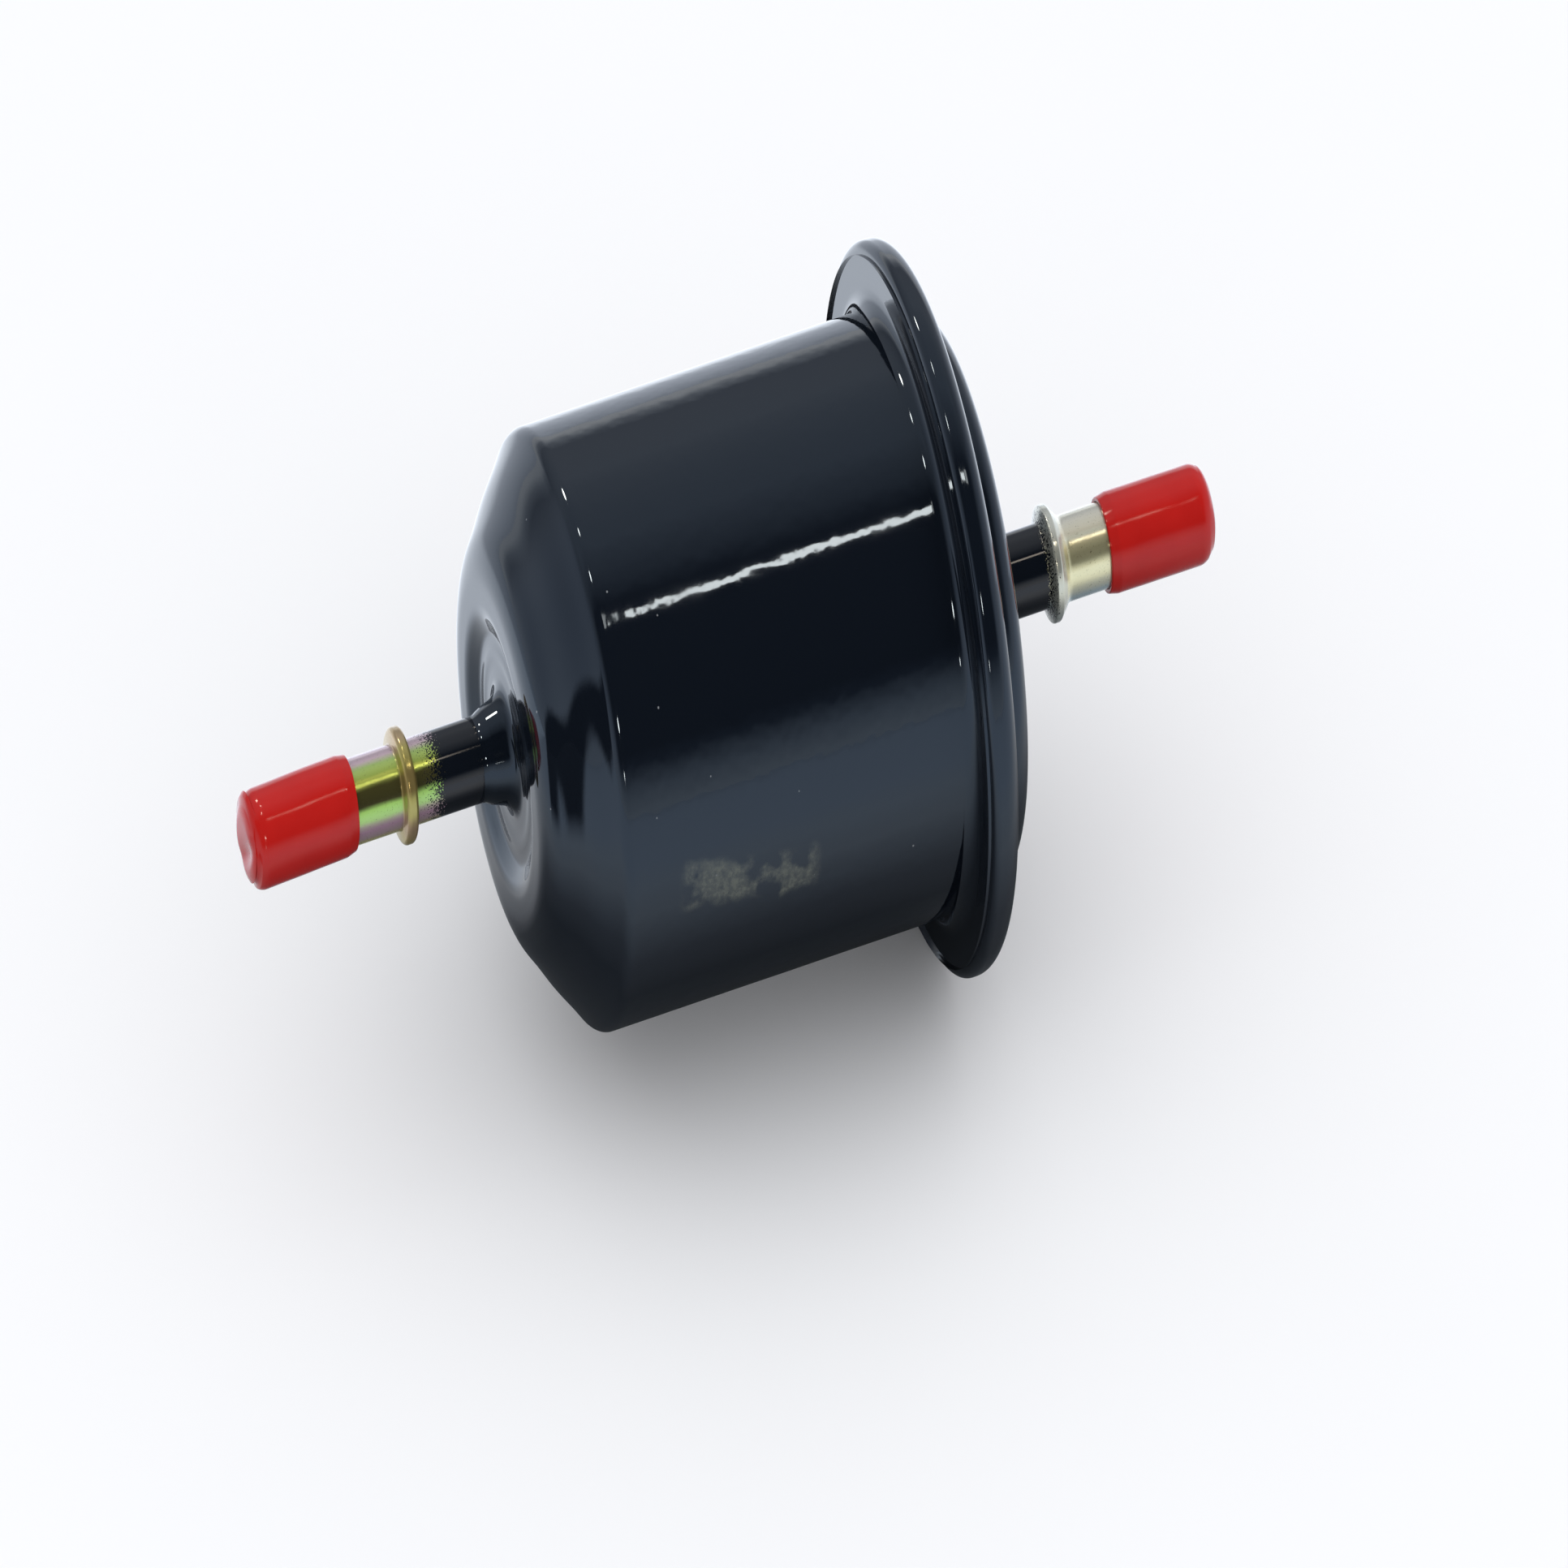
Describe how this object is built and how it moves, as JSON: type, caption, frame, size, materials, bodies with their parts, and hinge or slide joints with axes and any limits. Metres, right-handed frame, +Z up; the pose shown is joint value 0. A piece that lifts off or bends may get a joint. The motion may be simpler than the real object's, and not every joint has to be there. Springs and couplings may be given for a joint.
{
  "type": "fuel filter",
  "caption": "In-line fuel filter: black steel can crimped round its cover, a beaded pipe at each end under a push-on dust cap, and a pleated paper element inside.",
  "frame": {"origin": "on the filter's axis, at the middle of the can's straight wall, where a clamp band holds it", "axes": "X along the filter's axis, inlet and closed end of the can at -X, crimped rim and outlet at +X; +Z up, the filter lying on its side"},
  "size_m": [0.1645, 0.0808, 0.0808],
  "materials": {
    "black_enamel": "gloss baked enamel",
    "yellow_zinc": "yellow passivated zinc plating, black enamel towards the can",
    "pale_zinc": "pale passivated zinc plating, black enamel towards the cover",
    "braze": "copper-brazed fillet under the enamel",
    "red_vinyl": "soft dipped vinyl, gloss",
    "filter_paper": "resin-cured cellulose",
    "bare_steel": "tin-plated sheet",
    "spring_steel": "oiled spring steel",
    "adhesive": "cured plastisol",
    "black_rubber": "fuel-resistant rubber",
    "sealant": "cured seam compound"
  },
  "bodies": {
    "housing": {"can": "black_enamel", "cover": "black_enamel", "seam_sealant": "sealant", "inlet_pipe": "yellow_zinc", "outlet_pipe": "pale_zinc", "inlet_braze_ring": "braze", "outlet_braze_ring": "braze", "element_spring": "spring_steel", "inlet_baffle": "bare_steel"},
    "inlet_cap": {"inlet_dust_cap": "red_vinyl"},
    "outlet_cap": {"outlet_dust_cap": "red_vinyl"},
    "element": {"pleated_paper": "filter_paper", "pleat_seam_clip": "bare_steel", "centre_tube": "bare_steel", "closed_end_plate": "bare_steel", "open_end_plate": "bare_steel", "closed_end_potting": "adhesive", "open_end_potting": "adhesive", "outlet_grommet": "black_rubber", "centring_ring": "spring_steel"}
  },
  "joints": [
    {"name": "inlet_cap_pull", "type": "slide", "parent": "housing", "child": "inlet_cap", "axis": [-1, 0, 0], "range_m": [0, 0.025]},
    {"name": "outlet_cap_pull", "type": "slide", "parent": "housing", "child": "outlet_cap", "axis": [1, 0, 0], "range_m": [0, 0.025]},
    {"name": "element_float", "type": "slide", "parent": "housing", "child": "element", "axis": [-1, 0, 0], "range_m": [0, 0.0012], "stiffness_N_per_m": 2000, "springref_m": -0.005, "deforming": ["element_spring"]}
  ]
}
